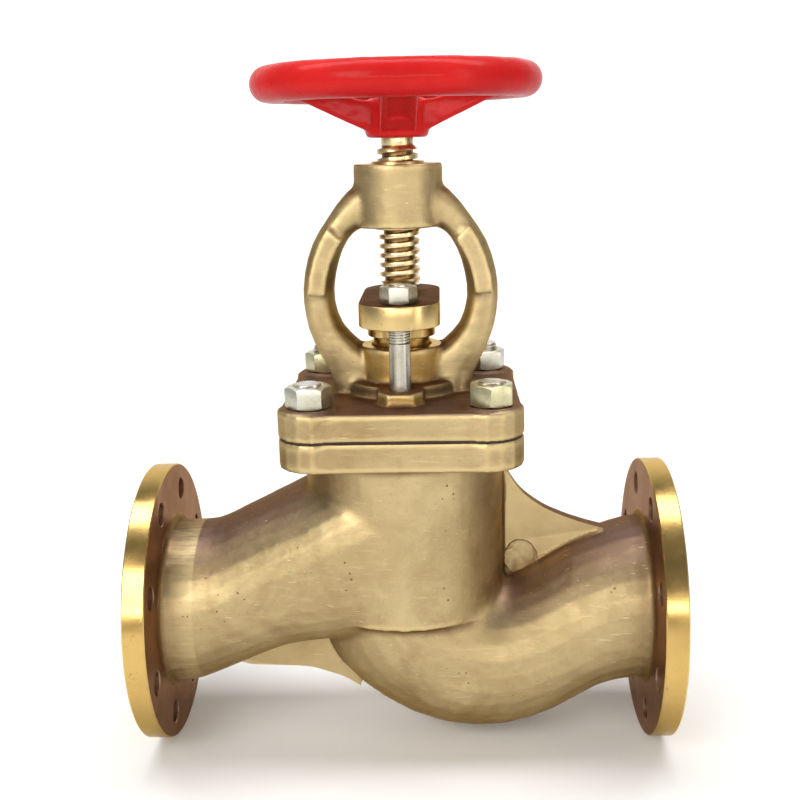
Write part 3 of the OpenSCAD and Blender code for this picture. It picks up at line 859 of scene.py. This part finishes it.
def arm_pad(side):
    """The flat-faced thicker length of a yoke arm, from a little above its middle to near the boss."""
    rings = []
    for outer, inner, depth in (((-69.5, 246), (-56.0, 245), 13), ((-69.8, 250.5), (-56.0, 249), 18.7),
                                ((-68.7, 262), (-54.5, 260), 18.8), ((-65.0, 276), (-51.0, 272), 19.0),
                                ((-59.5, 290), (-46.0, 282), 19.4), ((-53.0, 299), (-42.5, 289), 19.7),
                                ((-49.0, 304), (-39.5, 292.5), 13)):
        for (x, z), y in ((outer, -depth), (inner, -depth), (inner, depth), (outer, depth)):
            rings.append((side * -x, y, z))
    count = len(rings) // 4
    faces = [[0, 1, 2, 3], [4 * count - 1, 4 * count - 2, 4 * count - 3, 4 * count - 4]]
    for i in range(count - 1):
        for k in range(4):
            n = (k + 1) % 4
            faces.append([4 * i + k, 4 * i + n, 4 * i + 4 + n, 4 * i + 4 + k])
    return mesh_object("pad", rings, faces)


def bonnet_casting():
    bonnet = cad_copy("bonnet", "bonnet_casting")
    for side in (-1, 1):
        combine(bonnet, arm_pad(side), "UNION")
    remesh(bonnet, 1.3)

    def soft(c):
        """Less fillet on the square flange than above it."""
        return 0.15 + 0.85 * ramp_between(c[:, 2], 178, 188)

    cast_finish(bonnet, 20, soft)
    roughen(bonnet, [(20, 0.22), (8, 0.12), (3, 0.06)], 11.0)
    hub_top, hub_face_r, box_r, bush_r = 209.0, 31, 22, 20
    boss_low, boss_high = bottom_mm("yoke_bush") + 1.5, top_mm("yoke_bush") - 1.5
    nut_z = bottom_mm("bonnet_nuts")
    for x in (-STUD_OFFSET, STUD_OFFSET):
        for y in (-STUD_OFFSET, STUD_OFFSET):
            pad = lathe("pad", [
                (0, nut_z - 4), (19.2, nut_z - 4), (18.4, nut_z - 0.5), (17.9, nut_z),
                (0, nut_z)], 64, (x, y))
            combine(bonnet, pad, "UNION")
            combine(bonnet, rod("hole", 11, 150, nut_z + 3, (x, y)), "DIFFERENCE")
    combine(bonnet, rod("faced", hub_face_r, hub_top - 0.3, hub_top + 8), "DIFFERENCE")
    combine(bonnet, rod("box", box_r, 150, hub_top + 8, segments=96), "DIFFERENCE")
    combine(bonnet, rod("top", 45, boss_high - 0.3, boss_high + 9), "DIFFERENCE")
    combine(bonnet, rod("bush", bush_r, boss_low - 6, boss_high + 9, segments=96), "DIFFERENCE")

    def placed_shade(c):
        """Painted shade round the foot of the hub, except at the arms and the lugs."""
        across = np.hypot(c[:, 0], c[:, 1])
        foot = (c[:, 2] > nut_z - 2.2) & (c[:, 2] < 184) & (across > 34) & (across < 52)
        arm = np.abs(c[:, 1]) <= 21
        lug = (np.abs(c[:, 0]) < 19) & (np.abs(c[:, 1]) > 48)
        return 0.9 * (foot & ~arm & ~lug)

    wear_masks(bonnet, placed_shade=placed_shade)
    # The hub and the lugs are yellower than the rest
    co = centred(read_points(bonnet.data))
    across = np.hypot(co[:, 0], co[:, 1])
    hub = (1 - ramp_between(across, 31.8, 34.5)) * (co[:, 2] > 183.5) * (co[:, 2] < 208.6)
    lug = (np.abs(co[:, 1]) > 50) * (np.abs(co[:, 0]) < 17.5) * (co[:, 2] > nut_z - 3)
    store(bonnet, "gilt", 0.85 * np.maximum(hub, lug))
    shade(bonnet, SHARP_ANGLE)

    def choose(c, n):
        """0 for the cast skin, 1 for the turned tops of the boss and hub and the box."""
        out = np.zeros(len(c), int)
        across = np.hypot(c[:, 0], c[:, 1])
        up = n[:, 2] > 0.95
        out[up & (c[:, 2] > boss_high - 0.6)] = 1
        out[up & (np.abs(c[:, 2] - hub_top + 0.3) < 0.1) & (across < hub_face_r + 0.2)] = 1
        out[(across < box_r + 0.3) & (c[:, 2] < 240)] = 1
        return out

    paint_faces(bonnet, [CAST, TURNED], choose)
    place(bonnet, "valve_body", "cast_bronze", "bonnet")


bonnet_casting()

# ---------- fasteners ----------

def hex_outline(across_flats, turn, centre):
    r = across_flats / math.sqrt(3)
    angles = [math.radians(turn + 60 * k) for k in range(6)]
    return [(centre[0] + r * math.cos(a), centre[1] + r * math.sin(a)) for a in angles]


def hex_nut(name, across_flats, bore_r, low, high, centre=(0, 0), turn=0.0):
    """A nut with its corners turned off at both ends and a countersunk bore."""
    nut = prism(name, hex_outline(across_flats, turn, centre), low, high)
    corner_r, face_r = across_flats / math.sqrt(3), across_flats * 0.47
    drop = (corner_r - face_r) * math.tan(math.radians(30))
    blank = lathe("blank", [
        (0, low), (face_r, low), (corner_r + 0.3, low + drop), (corner_r + 0.3, high - drop),
        (face_r, high), (0, high)], 96, centre)
    combine(nut, blank, "INTERSECT")
    ease = 0.9
    mouth_r = bore_r + ease
    hole = lathe("hole", [
        (0, low - 1), (mouth_r, low - 1), (mouth_r, low), (bore_r, low + ease), (bore_r, high - ease),
        (mouth_r, high), (mouth_r, high + 1), (0, high + 1)], 64, centre)
    combine(nut, hole, "DIFFERENCE")
    return bevel(nut, 0.3, 2, 22)


def finish_piece(obj, name, materials, body, slot, *nodes, choose=None, rounds=4):
    obj.name = name
    wear_masks(obj, rounds)
    shade(obj, SHARP_ANGLE)
    paint_faces(obj, materials, choose or (lambda c, n: np.zeros(len(c))))
    return place(obj, body, slot, *nodes)


def bonnet_studs():
    low, high = bottom_mm("bonnet_studs"), top_mm("bonnet_nuts")
    rods = []
    for x in (-STUD_OFFSET, STUD_OFFSET):
        for y, proud in ((-STUD_OFFSET, 1.5), (STUD_OFFSET, 5.5)):
            rods.append(thread_rod("stud", *BONNET_THREAD, low, high + proud, (x, y), columns=48, fade=1.6))
    finish_piece(join("studs", rods), "bonnet_studs_threaded", [STUD_STEEL], "valve_body", "plated_steel",
                 "bonnet_studs")


def bonnet_nuts():
    low, high = bottom_mm("bonnet_nuts"), top_mm("bonnet_nuts")
    nuts = []
    for sx, sy, turn in ((-1, -1, 8), (1, -1, 27), (-1, 1, 2), (1, 1, 17)):
        nuts.append(hex_nut("nut", 30, 10, low, high, (sx * STUD_OFFSET, sy * STUD_OFFSET), turn))
    finish_piece(join("nuts", nuts), "bonnet_nuts_turned", [NUT_STEEL], "valve_body", "plated_steel",
                 "bonnet_nuts")


def gland_stud(side, node):
    """A smooth shank with a thread on its upper end."""
    low, high = bottom_mm(node), top_mm(node)
    centre = (0, side * GLAND_STUD_Y)
    waist, r = 217.0, GLAND_THREAD[0]
    stud = lathe("shank", [(0, low), (6.9, low), (r, low + 1), (r, waist), (0, waist)], 64, centre)
    combine(stud, thread_rod("thread", *GLAND_THREAD, waist - 0.6, high, centre, fade=1.6), "UNION")
    finish_piece(stud, node + "_threaded", [STUD_STEEL], "valve_body", "stainless_steel", node)


def gland_nut(side, node, turn, body):
    nut = hex_nut("nut", 24, 8.04, bottom_mm(node), top_mm(node), (0, side * GLAND_STUD_Y), turn)
    finish_piece(nut, node + "_turned", [NUT_STEEL], body, "plated_steel", node)


def wheel_nut():
    nut = hex_nut("nut", 24, 8, bottom_mm("handwheel_nut"), top_mm("handwheel_nut"), (0, 0), 12)
    finish_piece(nut, "handwheel_nut_turned", [NUT_STEEL], "stem_group", "plated_steel", "handwheel_nut")


# ---------- stem, gland and bush ----------

def stem_threaded():
    """The CAD's stem, with its plain upper rod changed for a thread."""
    stem = cad_copy("stem", "stem_threaded")
    low, high, core_r, clear_r, crest_r, root_r = 255.0, 358.0, 11.2, 22, 15.3, 11.7
    shell = lathe("shell", [
        (core_r, low - 0.2), (clear_r, low - 0.2), (clear_r, high + 0.2), (core_r, high + 0.2)], 96)
    combine(stem, shell, "DIFFERENCE")
    thread = thread_rod("screw", crest_r, root_r, LIFT_PER_TURN, low - 0.6, high + 0.6,
                        shape=(0.34, 0.46, 0.88), columns=96)
    combine(stem, thread, "UNION")
    bevel(stem, 0.35, 2, 40)
    finish_piece(stem, "stem_threaded", [STEM], "stem_group", "stem_bronze", "stem", rounds=8)


def gland():
    """The CAD's gland with its edges eased and its top painted darker, as a painted reflection of the dark
    above it.
    """
    gland = cad_copy("gland", "gland_cast")
    bevel(gland, 0.9, 3, 40)
    top = top_mm("gland")

    def choose(c, n):
        return (n[:, 2] > 0.9) & (c[:, 2] > top - 0.5)

    finish_piece(gland, "gland_cast", [GLAND_SIDE, GLAND_TOP], "gland_group", "cast_bronze", "gland",
                 choose=choose)


def yoke_bush():
    """Bush with eased ends. Its bore is plain, just outside the stem's thread."""
    low, high = bottom_mm("yoke_bush"), top_mm("yoke_bush")
    outer_r, lip_r, mouth_r, bore_r = 19.96, 19.4, 17.2, 15.4
    bush = lathe("bush", [
        (outer_r, low + 1.5), (lip_r, low), (mouth_r, low), (bore_r, low + 1.8), (bore_r, high - 1.8),
        (mouth_r, high), (lip_r, high), (outer_r, high - 1.5)], 96)
    finish_piece(bush, "yoke_bush_turned", [TURNED], "valve_body", "machined_bronze", "yoke_bush")


# ---------- handwheel ----------

def sloped_bar(name, outline, half_width, edge, turn):
    """A side outline in (distance, height), drawn out to both sides and turned about the stem. The outline
    is drawn in by edge at both sides."""
    n = len(outline)
    points = []
    middle = np.mean(outline, axis=0)
    flat = half_width - edge
    for y, inset in ((-half_width, edge), (-flat, 0), (flat, 0), (half_width, edge)):
        for r, z in outline:
            away = np.array((r, z)) - middle
            size = np.linalg.norm(away)
            r2, z2 = middle + away * (1 - inset / size)
            points.append((r2, y, z2))
    a = math.radians(turn)
    points = [(x * math.cos(a) - y * math.sin(a), x * math.sin(a) + y * math.cos(a), z) for x, y, z in points]
    faces = [list(range(n)), list(range(3 * n, 4 * n))[::-1]]
    for layer in range(3):
        for k in range(n):
            m = (k + 1) % n
            faces.append([layer * n + k, layer * n + m, (layer + 1) * n + m, (layer + 1) * n + k])
    return mesh_object(name, points, faces)


def handwheel_cast():
    low, high = bottom_mm("handwheel"), top_mm("handwheel")
    rim_r, rim_half = 94.0, 13.0
    centre_z = high - rim_half
    r = rim_half - 0.1
    ring = [(rim_r + r * math.cos(a), centre_z + r * math.sin(a))
            for a in np.linspace(0, 2 * math.pi, 49)[:-1]]
    wheel = lathe("wheel", ring, 192)
    hub = lathe("hub", [
        (0, low), (20.5, low), (22.6, low + 0.9), (23.4, low + 3), (23.2, low + 8), (22.6, low + 20),
        (22, low + 25), (19.5, low + 28.5), (0, low + 28.9)], 128)
    combine(wheel, hub, "UNION")
    # Side outlines of a spoke and of the channel under it
    spoke = [(12, 367), (23, 369.0), (46, 379.8), (66, 389.3), (82, 394.5), (94, 398), (94, 408), (84, 407),
             (60, 401), (40, 395), (28, 391), (12, 389.5)]
    groove = [(35, 368), (38, 378.5), (46, 382.4), (66, 391.8), (78, 395.0), (82, 388)]
    for outline, half_width, edge, operation in (
            (spoke, 13.2, 1.0, "UNION"), (groove, 8.8, 0.5, "DIFFERENCE")):
        for k in range(SPOKES):
            turn = SPOKE_TURN + 360 * k / SPOKES
            combine(wheel, sloped_bar("bar", outline, half_width, edge, turn), operation)
    remesh(wheel, 1.0)
    cast_finish(wheel, 16)
    roughen(wheel, [(22, 0.30), (6, 0.10)], 23.0)
    half, bore_r, shoulder_z = 17.05 / 2, 12.05, 366.5
    square = prism("square", [(-half, -half), (half, -half), (half, half), (-half, half)],
                   shoulder_z - 1, 400)
    combine(wheel, square, "DIFFERENCE")
    combine(wheel, rod("clear", bore_r, low - 3, shoulder_z), "DIFFERENCE")

    def choose(c, n):
        return np.hypot(c[:, 0], c[:, 1]) < bore_r + 0.05

    finish_piece(wheel, "handwheel_cast", [RED, TURNED], "stem_group", "red_paint", "handwheel",
                 choose=choose, rounds=8)


# ---------- packing ----------

def packing_stack():
    """Five square rings of plaited packing, with eased corners."""
    low, high = bottom_mm("packing_rings") - 0.15, top_mm("packing_rings") + 0.15
    count, inner, outer, ease, gap = 5, 12.35, 21.85, 0.9, 0.2
    h = (high - low) / count
    rings = []
    for k in range(count):
        z0, z1 = low + k * h + gap, low + (k + 1) * h - gap
        rings.append(lathe("ring", [
            (inner + ease, z0), (outer - ease, z0), (outer, z0 + ease), (outer, z1 - ease),
            (outer - ease, z1), (inner + ease, z1), (inner, z1 - ease), (inner, z0 + ease)], 96))
    stack = finish_piece(join("stack", rings), "packing_stack", [PACKING], "valve_body", "packing_fibre",
                         "packing_rings")
    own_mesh(stack)


# ---------- carried-over CAD nodes ----------

def dress(node, material, width):
    """Keeps a CAD node, with its edges eased and a detailed material."""
    obj = frame["nodes"][node]
    obj.data.materials.clear()
    obj.data.materials.append(material)
    weld = obj.modifiers.new("weld", "WELD")
    weld.merge_threshold = 1e-6
    step = obj.modifiers.new("bevel", "BEVEL")
    step.width = width * MM
    step.segments = 2
    step.limit_method = "ANGLE"
    step.angle_limit = math.radians(35)
    step.harden_normals = True


stem_threaded()
gland()
yoke_bush()
handwheel_cast()
wheel_nut()
bonnet_studs()
bonnet_nuts()
gland_stud(-1, "gland_stud_front")
gland_stud(1, "gland_stud_back")
gland_nut(-1, "gland_nut_front", 3, "front_nut")
gland_nut(1, "gland_nut_back", 19, "back_nut")
packing_stack()
for node, material, width in (
        ("seat_ring", TURNED, 0.4), ("back_seat_bush", TURNED, 0.4), ("packing_base_ring", TURNED, 0.2),
        ("disc", TURNED, 0.5), ("disc_retaining_nut", TURNED, 0.4), ("disc_thrust_pad", NUT_STEEL, 0.3),
        ("disc_lock_screw", NUT_STEEL, 0.15), ("bush_grub_screw", NUT_STEEL, 0.2),
        ("handwheel_washer", NUT_STEEL, 0.2), ("bonnet_gasket", GASKET, 0.15)):
    dress(node, material, width)

# ---------- stage, lights and camera ----------

floor_z = cad_low.z - 0.0005


def cyclorama():
    """A floor that curves up into a wall well behind the object."""
    front, bend, r, top, half_width = -4.0, 1.6, 0.8, 4.5, 4.5
    profile = [(front, 0.0), (bend, 0.0)]
    profile += [(bend + r * math.sin(a), r - r * math.cos(a)) for a in np.linspace(0.15, math.pi / 2, 12)]
    profile += [(bend + r, top)]
    mesh = bpy.data.meshes.new("backdrop")
    points = [(x, y, z + floor_z) for y, z in profile for x in (-half_width, half_width)]
    faces = [(2 * k, 2 * k + 1, 2 * k + 3, 2 * k + 2) for k in range(len(profile) - 1)]
    mesh.from_pydata(points, [], faces)
    for p in mesh.polygons:
        p.use_smooth = True
    obj = link("backdrop", mesh)
    obj.data.materials.append(plain_floor())


def area_light(name, place_m, aim, size, power, colour=(1, 1, 1)):
    data = bpy.data.lights.new(name, "AREA")
    data.shape = "RECTANGLE"
    data.size, data.size_y = size
    data.energy = power
    data.color = colour
    obj = bpy.data.objects.new(name, data)
    bpy.context.scene.collection.objects.link(obj)
    obj.location = place_m
    obj.rotation_mode = "QUATERNION"
    obj.rotation_quaternion = (Vector(aim) - Vector(place_m)).to_track_quat("-Z", "Y")


def world():
    made = bpy.data.worlds.new("studio")
    bpy.context.scene.world = made
    made.use_nodes = True
    made.node_tree.nodes["Background"].inputs["Color"].default_value = (1.0, 1.0, 1.0, 1)
    made.node_tree.nodes["Background"].inputs["Strength"].default_value = 0.22


def camera():
    """The camera's place in mm about the valve centre and its turn, fitted to the flanges."""
    data = bpy.data.cameras.new("camera")
    data.sensor_width = 36
    data.lens = 51.5
    obj = bpy.data.objects.new("camera", data)
    bpy.context.scene.collection.objects.link(obj)
    yaw, pitch, roll = (math.radians(a) for a in (-2.29, 13.26, -1.37))
    ahead = Vector((math.sin(yaw) * math.cos(pitch), math.cos(yaw) * math.cos(pitch), -math.sin(pitch)))
    right = Vector((math.cos(yaw), -math.sin(yaw), 0))
    up = right.cross(ahead)
    tilted_right = right * math.cos(roll) + up * math.sin(roll)
    tilted_up = up * math.cos(roll) - right * math.sin(roll)
    turn = Matrix((tilted_right, tilted_up, -ahead)).transposed()
    obj.matrix_world = Matrix.Translation(at_centre((32.3, -869.4, 368.7))) @ turn.to_4x4()
    bpy.context.scene.camera = obj


target = (STEM_X, 0, 0.13)
cyclorama()
world()
camera()
area_light("key", (STEM_X - 0.9, -1.5, 0.95), target, (0.9, 0.9), 17, (1.0, 0.98, 0.94))
area_light("front", (STEM_X + 0.1, -1.9, 0.42), target, (2.6, 0.16), 13, (1.0, 0.97, 0.92))
area_light("side", (STEM_X + 1.3, -0.9, 0.5), target, (0.4, 1.2), 5, (1.0, 0.96, 0.90))
area_light("wall", (STEM_X, 0.2, 1.9), (STEM_X, 1.6, 0.2), (3.0, 1.0), 60)
bpy.context.scene.view_settings.view_transform = "Standard"
